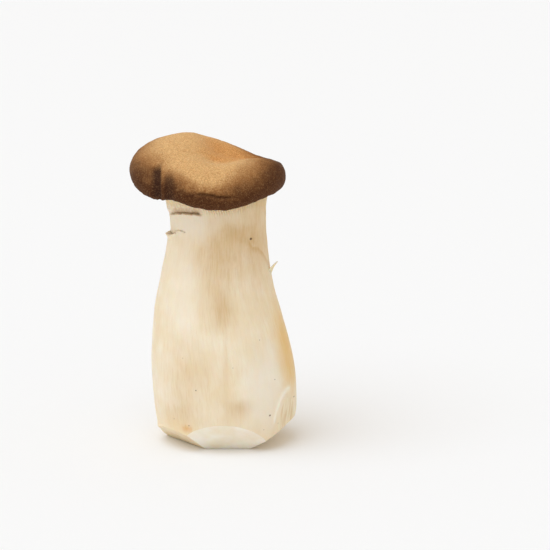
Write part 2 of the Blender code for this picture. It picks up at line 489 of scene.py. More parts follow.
# %% [markdown]
# ## The cap's front
# Low on the front the cap swells into a lip, with a crease above it where the skin has buckled. On the left
# two folds hang down, wet and nearly black. They are too soft for an edge and too small for the rings, so
# they are strokes too, each a bell curve or a soft-edged window. A last stroke fills out the right shoulder.

# %% The lip, its crease, two wet folds and the shoulder
LIP_HEIGHT, CREASE_DEPTH = 0.6, 0.9
WET_FOLD_DEPTH, SOFT_FOLD_DEPTH = 0.6, 0.25
SHOULDER_HEIGHT = 1.2
crease_height = np.interp(degrees, (255, 262, 275, 285, 300), (2.4, 2.0, 1.6, 0.8, 0.6))
crease_height += 0.35 * rough(3, 8)
crease = np.exp(-(((up - crease_height) / 0.5) ** 2)) * ease(256, 268, degrees) * ease(302, 286, degrees)
crease *= on_cap
lip = np.exp(-(((up + 1.2) / 1.9) ** 2)) * ease(236, 262, degrees) * ease(325, 290, degrees) * on_cap
relief += LIP_HEIGHT * lip - CREASE_DEPTH * crease
wet_fold = ease(-25.6, -23.2, x + 0.3 * rough(3, 18)) * ease(-20.9, -21.4, x + 0.3 * rough(4, 19))
wet_fold *= ease(106.4 + 0.6 * (x + 22), 103.4, z) * front * on_cap * ease(-4.2, -1.5, up)
soft_fold = ease(-20.6, -19.2, x) * ease(-15.6, -17.6, x + 0.5 * rough(3, 20))
soft_fold = soft_fold * ease(104.4, 100.5, z) * front * on_cap
relief -= WET_FOLD_DEPTH * wet_fold + SOFT_FOLD_DEPTH * soft_fold
shoulder = np.exp(-(((across - 28) / 4) ** 2) - (((up - 7.5) / 4) ** 2) - (((back + 2) / 9) ** 2)) * on_cap
relief += SHOULDER_HEIGHT * shoulder
relief += on_cap * (0.05 * rough(0.9, 9) + 0.10 * rough(2.4, 10))
print("the crease is", round(float(CREASE_DEPTH * crease.max()), 2), "mm deep")

# %% [markdown]
# ## Where the knife will pass
# A knife doesn't leave a razor edge on a soft root: the skin gives a little beside the cut. The cuts are
# planes, so each is set down here as a point and a direction. The strokes come before the cutting, because
# afterwards the skin near a wound has lost its neat rings.

# %% The cuts, and the skin that gives beside them
CUTS = (  # the wound's surface, a point on the plane in mm, and the way that the trimmed-off side lies
    ("cut_flesh", (0, 0, 0), (0, 0, -1)),
    ("cut_flesh", (0, -14, 0), (0, -0.763, -0.646)),
    ("root_rim", (9.8, -14, 0), (0.53, -0.05, -0.85)),
    ("peeled_side", (20, -16.6, 12.9), (0.855, -0.50, -0.12)),
    ("root_rim", (-6.4, -14, 0), (-0.47, -0.40, -0.787)),
    ("cut_flesh", (0, 17, 0), (-0.10, 0.80, -0.60)),
)


def before_cut(cut):
    """How far each point lies inside one of the cuts, in mm."""
    _surface, cut_point, outwards = cut
    facing = np.array(Vector(outwards).normalized())
    return -(points / MM - np.array(cut_point)) @ facing


for cut in CUTS:
    inside = before_cut(cut)
    relief -= 0.16 * ease(1.5, 0.0, inside) * ease(-1.5, -0.5, inside)
print(len(CUTS), "cuts")

# %% A lip of skin along the peeled side, and a flap that the knife left on the left
PEEL_LIP_HEIGHT, FLAP_HEIGHT = 0.35, 0.8
peel = next(cut for cut in CUTS if cut[0] == "peeled_side")
peel_lip = np.exp(-(((before_cut(peel) - 0.2) / 0.2) ** 2))
peel_lip = peel_lip * ease(9, 13, z) * ease(25.5, 24.0, x) * ease(1.2, 1.0, place)
relief += PEEL_LIP_HEIGHT * peel_lip
ragged = 0.55 * rough(3.4, 11) + 0.25 * rough(1.3, 12)
skin_flap = np.exp(-(((z - 6.0) / 1.2) ** 2)) * ease(183, 192, degrees) * ease(232, 215, degrees)
relief += FLAP_HEIGHT * skin_flap
print("relief from", round(float(relief.min()), 2), "to", round(float(relief.max()), 2), "mm")

# %% Move the points, and let the cap's margin run ragged
margin = ease(1.75, 2.0, place) * ease(2.5, 2.1, place)
points += normals * relief[:, None] * MM
points[:, 2] += margin * ragged * MM
mesh.vertices.foreach_set("co", points.astype(np.float32).ravel())
mesh.update()
print("the margin is ragged by up to", round(float(np.abs(margin * ragged).max()), 2), "mm")

# %% [markdown]
# ## Paint
# What has a place is painted on the points of the skin, as a painter would glaze it: dabs of colour, one
# over the other. What has a grain, such as the velvet of the cap, is left to the node groups further down.
# An image could hold the same, but it would need a flat map of the skin, and the skin has points enough.
# Colours are linear, as the shader wants them, so a helper turns the usual screen values into linear ones.


# %% The paint layer
def colour(red, green, blue):
    """A linear colour from the 0 to 255 values of a colour picker."""
    def linear(value):
        value /= 255
        return value / 12.92 if value <= 0.04045 else ((value + 0.055) / 1.055) ** 2.4
    return (linear(red), linear(green), linear(blue))


paint = np.zeros((count, 4))
grain = 0.6 * rough(2.6, 13, (1, 1, 0.35), unrolled) + 0.4 * rough(0.7, 21, (1, 1, 0.3), unrolled)
fine_grain = rough(0.8, 14)
BARE = 1e-6  # less paint than this is no paint


def dab(tint, strength):
    """Glazes the paint layer with a colour, by a strength from 0 to 1 at every point."""
    strength = np.clip(strength, 0, 1)[:, None]
    covered = paint[:, 3:] * (1 - strength)
    total = covered + strength
    glazed = paint[:, :3] * covered + np.array(tint) * strength
    paint[:, :3] = np.where(total > BARE, glazed / np.maximum(total, BARE), 0)
    paint[:, 3:] = total


def patch(at_x, at_z, half_width, half_height, soft=0.5, wobble=0.35):
    """How much a point of the stem's front lies in an oval patch with a grainy edge."""
    away = np.hypot((x - at_x) / half_width, (z - at_z) / half_height) + wobble * grain + 0.1 * fine_grain
    return ease(1 + soft, 1 - soft, away) * front * ease(1.9, 1.7, place)


print("a paint layer for", len(paint), "points")

# %% [markdown]
# ## Stains and painted shade on the stem
# The flesh bruises tan and brown where it was handled, and stays milky where it was sheltered. Each stain
# is an oval patch with a grainy edge. A broad tan wash up the neck is partly the flesh's tint and partly
# painted shade under the cap, and a warm tan on the right side, away from the lamp, is painted shade. The
# tears, the peeled lip and a torn edge on the right get a dab along their own line, so that the colour and
# the relief agree: in the tears the dab is painted shade, and the peeled lip's white also stands in for its
# highlight. A honey-coloured strip runs down the right edge.

# %% Stains: brown and milky patches, over broad washes that are partly painted shade
NECK_TAN_AND_SHADE = colour(216, 180, 118)
RIGHT_SIDE_SHADE_TAN = colour(228, 196, 136)
BROWN = colour(198, 154, 84)
MILK = colour(244, 236, 222)

# a tan wash up the neck: partly the flesh's tint, partly painted shade under the cap
dab(NECK_TAN_AND_SHADE, 0.16 * ease(60, 84, z + 5 * grain) * ease(1.9, 1.6, place))
# painted shade: the stem's right side, away from the lamp, is painted darker and warmer
dab(RIGHT_SIDE_SHADE_TAN, 0.34 * ease(8, 22, x + 3 * grain) * ease(26, 46, z) * on_stem)
for at_x, at_z, wide, tall, strength in (
    (13.5, 83, 4.0, 11, 0.25),
    (3.0, 76, 10.5, 7.5, 0.34),
    (5.5, 80.6, 4.6, 2.4, 0.34),
    (10.0, 77.4, 3.0, 1.6, 0.30),
    (12.5, 68, 5.0, 9, 0.24),
    (-3.0, 69, 9.5, 6.5, 0.18),
    (-1.8, 60, 6.0, 11, 0.26),
    (0.2, 54.5, 2.6, 6, 0.28),
    (-13.5, 29, 7.5, 15, 0.19),
    (-15.5, 13, 6.5, 6, 0.20),
    (7.0, 18.2, 3.9, 2.6, 0.36),
    (1.5, 33, 0.8, 15, 0.10),
):
    dab(BROWN, strength * patch(at_x, at_z, wide, tall, 0.9))
for at_x, at_z, wide, tall, strength in (
    (-12, 83.5, 6.5, 5.0, 0.55),
    (-14, 60, 5.0, 14, 0.30),
    (15.5, 24, 6.0, 15, 0.60),
):
    dab(MILK, strength * patch(at_x, at_z, wide, tall, 0.8))
print("painted so far:", round(float((paint[:, 3] > 0.1).mean()), 2), "of the skin")

# %% The root's left, a honey-coloured strip, the peeled lip, a torn edge, and painted shade in the tears
BUTTER = colour(246, 222, 178)
HONEY = colour(232, 190, 112)
RUST = colour(222, 160, 70)
PEEL_WHITE_AND_HIGHLIGHT = colour(250, 243, 228)
RECESS_BROWN_AND_SHADE = colour(166, 120, 60)
TEAR_SHADE = colour(122, 76, 24)
TEAR_SHADE_EDGE = colour(150, 116, 66)
TORN_EDGE = ((9.5, 77.3), (11.1, 74.6), (13.0, 74.2), (15.0, 71.6), (16.8, 67.5))

dab(BUTTER, 0.55 * ease(16, 7, z + 3 * grain) * ease(-6, -12, x) * on_stem)
# a honey-coloured strip down the right edge of the stem
strip = np.hypot((degrees + 17 - 360 * (degrees > 180)) / 17, (z - 36) / 15) + 0.25 * grain
dab(HONEY, 0.75 * ease(1.5, 0.3, strip) * on_stem)
dab(RUST, 0.60 * patch(-12.9, 9.6, 1.5, 1.4, 0.9, 0.5))
# the peeled lip is painted white, which also stands in for the highlight along it
dab(PEEL_WHITE_AND_HIGHLIGHT, 0.9 * peel_lip)
torn_edge = z - along_line(TORN_EDGE, x) + 0.3 * grain
torn_band = 0.42 * ease(-2.4, 0.0, torn_edge) * ease(0.5, 0.1, torn_edge)
dab(BROWN, torn_band * ease(9.2, 10.0, x) * ease(17.5, 16.0, x) * front * on_stem)
# brown in the recess above the upper tear, partly painted shade
above_tear = z - along_line(UPPER_TEAR, x)
recess_brown_and_shade = ease(3.0, 0.0, above_tear + 0.8 * fine_grain) * ease(-0.1, 0.1, above_tear)
recess_brown_and_shade *= ease(-19.0, -17.0, x) * ease(-7.0, -9.0, x) * front * ease(2.0, 1.9, place)
dab(RECESS_BROWN_AND_SHADE, 0.60 * recess_brown_and_shade)
# painted shade in the tears' recesses: dark in their middle, brown towards their edges
dab(TEAR_SHADE, 0.70 * ease(0.35, 0.95, torn))
dab(TEAR_SHADE_EDGE, 0.45 * torn * ease(0.9, 0.4, torn))
print("painted so far:", round(float((paint[:, 3] > 0.1).mean()), 2), "of the skin")

# %% [markdown]
# ## Paint on the cap
# The cap is darkest at its margin and fades to tan on the crown, with orange in the trough of the fold. The
# dark band isn't as wide on every side, so its width is drawn round the compass, as the rim's plan was. It
# is measured from the edge along the skin, in millimetres, and roughened so that it ends in tufts.

# %% The cap: dark margin, tan crown, an orange trough and the wet folds
CAP_DARK = colour(78, 40, 12)
CAP_BROWN = colour(158, 106, 56)
CAP_TAN = colour(232, 188, 130)
CAP_ORANGE = colour(222, 158, 88)
WET = colour(56, 24, 5)
PALE_EDGE = colour(226, 200, 160)

RIM_MM, CROWN_MM = 9.5, 27  # how long the rim and the crown are along the skin
from_edge = np.where(place < 3, (place - 2) * RIM_MM, RIM_MM + (place - 3) * CROWN_MM)
COMPASS = (0, 40, 90, 140, 185, 210, 235, 250, 265, 280, 292, 320, 345, 360)
band = np.interp(degrees, COMPASS, (16, 12, 9, 9, 11, 13, 11, 9.0, 8.3, 9.0, 10.5, 13.5, 16.5, 16))
blur = np.interp(degrees, COMPASS, (1.2, 1, 1.2, 1.5, 1.6, 1.5, 1.1, 0.7, 0.6, 0.7, 1.2, 1.7, 1.6, 1.2))
ripple = 1.0 * rough(6, 15) + 0.9 * rough(2.2, 16) + 0.8 * fine_grain
depth_in = (from_edge - band + ripple) / blur
dab(CAP_TAN, on_cap)
dab(CAP_ORANGE, 0.75 * on_cap * ease(-6, 4, across) * ease(-5.5, -1.5, back) * ease(22, 12, back))
dab(CAP_BROWN, 0.85 * on_cap * ease(6.0, -1.0, depth_in))
dab(CAP_DARK, 0.95 * on_cap * ease(1.0, -4.5, depth_in))
# painted shade in the crease above the lip
dab(CAP_DARK, 0.8 * crease)
dab(WET, 0.95 * wet_fold)
dab(WET, 0.72 * soft_fold)
edge_wobble = from_edge + 0.9 * ragged
dab(PALE_EDGE, ease(1.3, 0.4, edge_wobble) * ease(1.7, 2.0, place))
note(mesh, "paint", paint, "FLOAT_COLOR", "color")
note(mesh, "unrolled", unrolled, "FLOAT_VECTOR", "vector")
note(mesh, "valley", gill_top * valley)
print("painted share of the skin:", round(float((paint[:, 3] > 0.1).mean()), 2))

# %% [markdown]
# ## The knife
# The root was squared off with a few strokes. A boolean with a box could cut it too, but bisect is the knife
# itself: it cuts through the mesh with a plane, throws away the far side and fills the wound. The wounds
# keep materials of their own, because cut flesh is smoother and whiter than skin. Their faces are selected
# by the operator, so they are assigned on the spot.

# %% A material for each surface, and which faces have it
SURFACES = ("stem_skin", "gill_flesh", "cap_skin", "cut_flesh", "root_rim", "peeled_side")
materials = {name: bpy.data.materials.new(name) for name in SURFACES}
mushroom.data.materials.clear()
for name in SURFACES:
    mushroom.data.materials.append(materials[name])

loop_starts = np.zeros(len(mesh.polygons), np.int32)
mesh.polygons.foreach_get("loop_start", loop_starts)
corner_vertices = np.zeros(len(mesh.loops), np.int32)
mesh.loops.foreach_get("vertex_index", corner_vertices)
lowest_place = np.minimum.reduceat(place[corner_vertices], loop_starts)
surface = np.where(lowest_place < 1.0, 0, np.where(lowest_place < 2.0, 1, 2))
mesh.polygons.foreach_set("material_index", surface.astype(np.int32))
print("faces of stem, gills and cap:", np.bincount(surface).tolist())

# %% Cut
FIRST_WOUND = SURFACES.index("cut_flesh")
take(mushroom)
bpy.ops.object.mode_set(mode="EDIT")
for wound, cut_point, outwards in CUTS:
    mushroom.active_material_index = SURFACES.index(wound)
    bpy.ops.mesh.select_all(action="SELECT")
    bpy.ops.mesh.bisect(
        plane_co=Vector(cut_point) * MM,
        plane_no=Vector(outwards).normalized(),
        use_fill=True,
        clear_outer=True,
        threshold=1e-6,
    )
    bpy.ops.mesh.select_mode(type="FACE")
    bpy.ops.object.material_slot_assign()
    bpy.ops.mesh.select_mode(type="VERT")
bpy.ops.object.mode_set(mode="OBJECT")
wound_faces = sum(face.material_index >= FIRST_WOUND for face in mesh.polygons)
print(len(mesh.polygons), "faces,", wound_faces, "of them cut")

# %% Stand it where the solid stands
SHARPEST_SMOOTH = math.radians(38)  # an edge that turns more than this stays crisp, as the cuts' edges do
solid_low, solid_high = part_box("king_oyster_mushroom")
corners = np.array([v.co for v in mesh.vertices])
shift = (solid_low + solid_high) / 2 - Vector((corners.min(0) + corners.max(0)) / 2)
shift.z = 0
mesh.transform(Matrix.Translation(shift))
take(mushroom)
bpy.ops.object.shade_smooth_by_angle(angle=SHARPEST_SMOOTH)
print("moved sideways by", [round(v / MM, 2) for v in shift.xy], "mm")

# %% [markdown]
# ## Finishes
# Up close the mushroom has three finishes: fibrous flesh, a velvety cap, and smooth wet cut flesh. Images
# could hold them, but noise needs no flat map and stays sharp from near by. What more than one finish uses,
# such as fibres or grain, is a node group with named inputs, built once and placed in each material with
# values of its own. The shader itself stays in the material.

# %% Helpers to wire nodes
def socket(group, name, direction, kind, default=None):
    """Gives a group a named input or output."""
    made = group.interface.new_socket(name=name, in_out=direction, socket_type=kind)
    if default is not None:
        made.default_value = default


def new_group(name):
    """An empty node group, with its input and output nodes."""
    group = bpy.data.node_groups.new(name, "ShaderNodeTree")
    return group, group.nodes.new("NodeGroupInput"), group.nodes.new("NodeGroupOutput")


def add(tree, kind, **settings):
    """Adds a node and sets what its panel shows."""
    node = tree.nodes.new(kind)
    for key, value in settings.items():
        setattr(node, key, value)
    return node


def wire(tree, source, target):
    tree.links.new(source, target)


def feed(tree, value, target):
    """Sets an input to a number or a colour, or wires another node's output to it."""
    if isinstance(value, (int, float)):
        target.default_value = value
    elif isinstance(value, tuple):
        target.default_value = (*value, 1.0)
    else:
        wire(tree, value, target)


def math_node(tree, operation, *values, clamp=False):
    """A sum, product or other piece of arithmetic."""
    node = add(tree, "ShaderNodeMath", operation=operation, use_clamp=clamp)
    for index, value in enumerate(values):
        feed(tree, value, node.inputs[index])
    return node.outputs[0]


def mix(tree, factor, first, second, blend="MIX"):
    """Lays the second colour over the first, by a factor."""
    node = add(tree, "ShaderNodeMix", data_type="RGBA", blend_type=blend)
    for index, value in ((0, factor), (6, first), (7, second)):
        feed(tree, value, node.inputs[index])
    return node.outputs[2]


def spread(tree, value, low, high, to_low=0.0, to_high=1.0):
    """Spreads the values between low and high over a range of its own, and stops at its ends."""
    node = add(tree, "ShaderNodeMapRange", clamp=True)
    for index, number in enumerate((low, high, to_low, to_high), start=1):
        node.inputs[index].default_value = number
    wire(tree, value, node.inputs[0])
    return node.outputs[0]


groups = {}
print("surfaces to finish:", SURFACES)

# %% [markdown]
# ## Group: fibres
# The stem is a bundle of threads that run from root to cap. Noise on the object's own coordinates would
# shear where the skin leans, so this noise reads the unrolled skin that was noted on the points. It is
# squeezed across the thread and stretched along it; how thin and how long is up to the material.

# %% Build the fibres
def fibre_group():
    group, inside, outside = new_group("fibres")
    socket(group, "Width", "INPUT", "NodeSocketFloat", 0.5)
    socket(group, "Length", "INPUT", "NodeSocketFloat", 12.0)
    socket(group, "Fibres", "OUTPUT", "NodeSocketFloat")
    skin = add(group, "ShaderNodeAttribute", attribute_name="unrolled")
    parts = add(group, "ShaderNodeSeparateXYZ")
    wire(group, skin.outputs["Vector"], parts.inputs[0])
    scaled = add(group, "ShaderNodeCombineXYZ")
    wire(group, math_node(group, "DIVIDE", parts.outputs[0], inside.outputs["Width"]), scaled.inputs[0])
    wire(group, math_node(group, "DIVIDE", parts.outputs[1], inside.outputs["Width"]), scaled.inputs[1])
    wire(group, math_node(group, "DIVIDE", parts.outputs[2], inside.outputs["Length"]), scaled.inputs[2])
    strands = add(group, "ShaderNodeTexNoise", noise_dimensions="3D")
    strands.inputs["Scale"].default_value = 1.0
    strands.inputs["Detail"].default_value = 3.0
    strands.inputs["Roughness"].default_value = 0.6
    wire(group, scaled.outputs[0], strands.inputs["Vector"])
    wire(group, strands.outputs["Fac"], outside.inputs["Fibres"])
    return group


groups["fibres"] = fibre_group()
print("built:", sorted(groups))

# %% [markdown]
# ## Group: grain
# Velvet, mottling and the crumb of cut flesh are all the same thing at another size: lumps without a
# direction. So one noise on the object's coordinates serves all three, with its size in millimetres.

# %% Build the grain
def grain_group():
    group, inside, outside = new_group("grain")
    socket(group, "Size", "INPUT", "NodeSocketFloat", 0.4)
    socket(group, "Detail", "INPUT", "NodeSocketFloat", 2.0)
    socket(group, "Grain", "OUTPUT", "NodeSocketFloat")
    place_on = add(group, "ShaderNodeTexCoord")
    speckle = add(group, "ShaderNodeTexNoise", noise_dimensions="3D")
    speckle.inputs["Roughness"].default_value = 0.65
    wire(group, place_on.outputs["Object"], speckle.inputs["Vector"])
    wire(group, math_node(group, "DIVIDE", 1000.0, inside.outputs["Size"]), speckle.inputs["Scale"])
    wire(group, inside.outputs["Detail"], speckle.inputs["Detail"])
    wire(group, speckle.outputs["Fac"], outside.inputs["Grain"])
    return group


groups["grain"] = grain_group()
print("built:", sorted(groups))

# %% [markdown]
# ## Group: painted
# A dab on the points fades out smoothly, but a stain doesn't: it creeps along the threads. This group lays
# the paint over a base colour and lets a grain break up the fade, most where the paint is half faded.

# %% Build the painted look
def painted_group():
    group, inside, outside = new_group("painted")
    socket(group, "Base", "INPUT", "NodeSocketColor")
    socket(group, "Grain", "INPUT", "NodeSocketFloat", 0.5)
    socket(group, "Break up", "INPUT", "NodeSocketFloat", 0.5)
    socket(group, "Colour", "OUTPUT", "NodeSocketColor")
    layer = add(group, "ShaderNodeAttribute", attribute_name="paint")
    centred = math_node(group, "SUBTRACT", inside.outputs["Grain"], 0.5)
    swing = math_node(group, "MULTIPLY", centred, inside.outputs["Break up"])
    open_paint = math_node(group, "SUBTRACT", 1.0, layer.outputs["Alpha"])
    both = math_node(group, "MULTIPLY", math_node(group, "MULTIPLY", layer.outputs["Alpha"], open_paint), 4.0)
    broken = math_node(group, "MULTIPLY_ADD", swing, both, layer.outputs["Alpha"], clamp=True)
    wire(group, mix(group, broken, inside.outputs["Base"], layer.outputs["Color"]), outside.inputs["Colour"])
    return group


groups["painted"] = painted_group()
print("built:", sorted(groups))


# %% Helper: placing a group
def use(tree, name, **values):
    """Places a group and sets or wires its inputs."""
    node = add(tree, "ShaderNodeGroup", node_tree=groups[name])
    for key, value in values.items():
        feed(tree, value, node.inputs[key.replace("_", " ")])
    return node.outputs[0]


# %% [markdown]
# ## Group: marks
# The stem has a few dark specks, from soil and from the knife. On the points of the belly a dab is as wide
# as a whole ring, and would smear. So each speck is measured in the shader instead: how far this spot is
# from the speck's centre, seen from the front. Tiny flat pieces laid on the skin could be specks too, but
# they would stand off it and catch the light. Only the front has them.

# %% Build the marks
MARK_FADE = 0.5  # share of its size at which a speck starts to fade
MARKS = (  # how far right and how high in mm, size in mm, and strength
    (-9.3, 24.7, 0.30, 0.7),
    (17.2, 14.1, 0.42, 0.8),
    (20.5, 10.2, 0.5, 0.9),
    (-12.0, 11.0, 0.28, 0.6),
    (26.0, 17.8, 0.3, 0.6),
    (10.4, 77.8, 0.55, 0.95),
    (13.5, 42.0, 0.22, 0.5),
    (-14.0, 36.0, 0.2, 0.5),
    (4.0, 33.0, 0.22, 0.5),
    (19.0, 27.0, 0.25, 0.5),
    (15.0, 9.0, 0.22, 0.5),
    (-17.5, 12.6, 0.2, 0.5),
)


def marks_group():
    """Small dark specks on the front of the stem, each at its own place, so that they stay crisp."""
    group, _inside, outside = new_group("marks")
    socket(group, "Marks", "OUTPUT", "NodeSocketFloat")
    place_on = add(group, "ShaderNodeTexCoord")
    flat = add(group, "ShaderNodeVectorMath", operation="MULTIPLY")
    flat.inputs[1].default_value = (1.0, 0.0, 1.0)
    wire(group, place_on.outputs["Object"], flat.inputs[0])
    marks = None
    for at_x, at_z, size, strength in MARKS:
        away = add(group, "ShaderNodeVectorMath", operation="DISTANCE")
        away.inputs[1].default_value = (at_x * MM + shift.x, 0.0, at_z * MM)
        wire(group, flat.outputs[0], away.inputs[0])
        spot = spread(group, away.outputs["Value"], MARK_FADE * size * MM, size * MM, strength, 0.0)
        marks = spot if marks is None else math_node(group, "MAXIMUM", marks, spot)
    parts = add(group, "ShaderNodeSeparateXYZ")
    wire(group, place_on.outputs["Object"], parts.inputs[0])
    on_front = spread(group, parts.outputs[1], -0.002, -0.003)
    wire(group, math_node(group, "MULTIPLY", marks, on_front), outside.inputs["Marks"])
    return group


groups["marks"] = marks_group()
print(len(MARKS), "marks")

# %% [markdown]
# ## Group: flesh
# Stem and gills are the same flesh: clouds of ivory and cream, with straw-coloured threads, thin ones over
# broad ones. They could be two materials that are wired alike, but a group keeps them alike for good. It
# puts out a colour, a height for the relief, and the threads on their own, for the gloss.

# %% Build the flesh
IVORY = colour(246, 234, 211)
CREAM = colour(238, 220, 187)
STRAW = colour(226, 200, 160)
FRECKLE = colour(206, 176, 132)
MARK_BROWN = colour(92, 60, 30)


def flesh_group():
    group, inside, outside = new_group("flesh")
    socket(group, "Fibre tint", "INPUT", "NodeSocketFloat", 0.4)
    socket(group, "Colour", "OUTPUT", "NodeSocketColor")
    socket(group, "Height", "OUTPUT", "NodeSocketFloat")
    socket(group, "Fibres", "OUTPUT", "NodeSocketFloat")
    fine = use(group, "fibres", Width=0.45, Length=5.0)
    broad = use(group, "fibres", Width=2.6, Length=9.0)
    speck = use(group, "grain", Size=0.35, Detail=2.0)
    cloud = use(group, "grain", Size=16.0, Detail=2.0)
    base = mix(group, spread(group, cloud, 0.35, 0.65), IVORY, CREAM)
    fine_mask = math_node(group, "MULTIPLY", spread(group, fine, 0.52, 0.74), inside.outputs["Fibre tint"])
    broad_mask = math_node(group, "MULTIPLY", spread(group, broad, 0.45, 0.80), inside.outputs["Fibre tint"])
    base = mix(group, broad_mask, base, STRAW)
    base = mix(group, fine_mask, base, STRAW)
    base = use(group, "painted", Base=base, Grain=fine, Break_up=0.5)
    base = mix(group, spread(group, speck, 0.60, 0.78, 0.0, 0.14), base, FRECKLE)
    base = mix(group, use(group, "marks"), base, MARK_BROWN)
    wire(group, base, outside.inputs["Colour"])
    height = math_node(group, "ADD", fine, math_node(group, "MULTIPLY", speck, 0.25))
    wire(group, height, outside.inputs["Height"])
    wire(group, fine, outside.inputs["Fibres"])
    return group


groups["flesh"] = flesh_group()
print("built:", sorted(groups))

# %% [markdown]
# ## Stem skin and gill flesh
# Mushroom flesh is not quite opaque: light goes a little way in, red furthest, and that is why it looks
# soft. Plain white paint would look like plaster, so the shader's subsurface scattering is switched on, a
# few millimetres deep. The threads are a little glossier than what lies between them. The gills add one
# thing, shade between the blades.

# %% Helpers: open a material, let light into it, and give it relief
def open_material(name):
    """A material's nodes and its shader, set up as something moist."""
    materials[name].use_nodes = True
    tree = materials[name].node_tree
    shader = tree.nodes["Principled BSDF"]
    shader.inputs["IOR"].default_value = 1.4
    shader.subsurface_method = "RANDOM_WALK"
    return tree, shader


def let_light_in(shader, weight, depth):
    """Light goes a little way into mushroom flesh, red furthest. Depth is in mm."""
    shader.inputs["Subsurface Weight"].default_value = weight
    shader.inputs["Subsurface Radius"].default_value = (1.0, 0.55, 0.28)
    shader.inputs["Subsurface Scale"].default_value = depth * MM


def bump(tree, shader, height, strength, distance):
    """Relief too fine for the mesh. Distance is its depth in mm."""
    node = add(tree, "ShaderNodeBump")
    node.inputs["Strength"].default_value = strength
    node.inputs["Distance"].default_value = distance * MM
    wire(tree, height, node.inputs["Height"])
    wire(tree, node.outputs[0], shader.inputs["Normal"])


# %% Stem skin and gill flesh
FLESH_DEPTH = 2.6
GILL_SHADE = colour(196, 152, 96)


def fleshy(name):
    """What stem and gills have in common: gloss, relief and light that goes in."""
    tree, shader = open_material(name)
    surface_of = use(tree, "flesh", Fibre_tint=0.30).node
    wire(tree, spread(tree, surface_of.outputs["Fibres"], 0.3, 0.7, 0.48, 0.62), shader.inputs["Roughness"])
    bump(tree, shader, surface_of.outputs["Height"], strength=0.30, distance=0.25)
    let_light_in(shader, 0.35, FLESH_DEPTH)
    return tree, shader, surface_of.outputs["Colour"]


tree, shader, flesh_colour = fleshy("stem_skin")
wire(tree, flesh_colour, shader.inputs["Base Color"])

tree, shader, flesh_colour = fleshy("gill_flesh")
depth_between = add(tree, "ShaderNodeAttribute", attribute_name="valley")
shade = spread(tree, depth_between.outputs["Fac"], 0.1, 1.0, 0.0, 0.7)
wire(tree, mix(tree, shade, flesh_colour, GILL_SHADE), shader.inputs["Base Color"])
print("nodes in the gills' material:", len(tree.nodes))

# %% [markdown]
# ## Cap skin
# The cap is matt and velvety, a nap of tiny dark and light tufts over the paint. Hair would be the real
# thing, but it is too short to be seen as hair. Grain at two sizes does it: it darkens and lightens the
# colour, roughens the relief, and a little sheen catches the light at the edges.

# %% Cap skin
VELVET_SHADOW = (0.66, 0.56, 0.46)
VELVET_LIGHT = colour(240, 200, 146)
SHEEN = colour(235, 205, 170)

tree, shader = open_material("cap_skin")
nap = use(tree, "grain", Size=0.42, Detail=2.0)
tuft = use(tree, "grain", Size=1.6, Detail=3.0)
base = use(tree, "painted", Base=CAP_TAN, Grain=nap, Break_up=0.9)
dark = mix(tree, 1.0, base, VELVET_SHADOW, "MULTIPLY")
light = mix(tree, 0.16, base, VELVET_LIGHT)
base = mix(tree, spread(tree, nap, 0.60, 0.36), base, dark)
base = mix(tree, spread(tree, nap, 0.52, 0.76), base, light)
base = mix(tree, spread(tree, tuft, 0.60, 0.40, 0.0, 0.28), base, dark)
wire(tree, base, shader.inputs["Base Color"])
wire(tree, spread(tree, nap, 0.3, 0.7, 0.66, 0.85), shader.inputs["Roughness"])
bump(tree, shader, math_node(tree, "ADD", nap, math_node(tree, "MULTIPLY", tuft, 0.8)), 0.45, 0.30)
shader.inputs["Specular IOR Level"].default_value = 0.18
shader.inputs["Sheen Weight"].default_value = 0.07
shader.inputs["Sheen Roughness"].default_value = 0.5
shader.inputs["Sheen Tint"].default_value = (*SHEEN, 1.0)
let_light_in(shader, weight=0.12, depth=1.2)
print("nodes in the cap's material:", len(tree.nodes))

# %% [markdown]
# ## Cut flesh, and skin that was only shaved
# Where the knife went deep the flesh is white and even, with a fine crumb. Where it only shaved the skin,
# at the root's rim and on the peeled side, fibres are left as faint tan streaks that run up. One function
# makes both shaved surfaces, and they differ in their colours and in the width of the streaks.

# %% Cut flesh
CUT_WHITE = colour(250, 242, 228)
CUT_CREAM = colour(243, 230, 206)
CRUMB = colour(214, 190, 152)

tree, shader = open_material("cut_flesh")
speck = use(tree, "grain", Size=0.5, Detail=3.0)
cloud = use(tree, "grain", Size=9.0, Detail=2.0)
base = mix(tree, spread(tree, cloud, 0.35, 0.65), CUT_WHITE, CUT_CREAM)
base = mix(tree, spread(tree, speck, 0.58, 0.75, 0.0, 0.25), base, CRUMB)
wire(tree, base, shader.inputs["Base Color"])
shader.inputs["Roughness"].default_value = 0.5
bump(tree, shader, speck, strength=0.3, distance=0.2)
let_light_in(shader, 0.4, FLESH_DEPTH)
print("nodes in the cut's material:", len(tree.nodes))


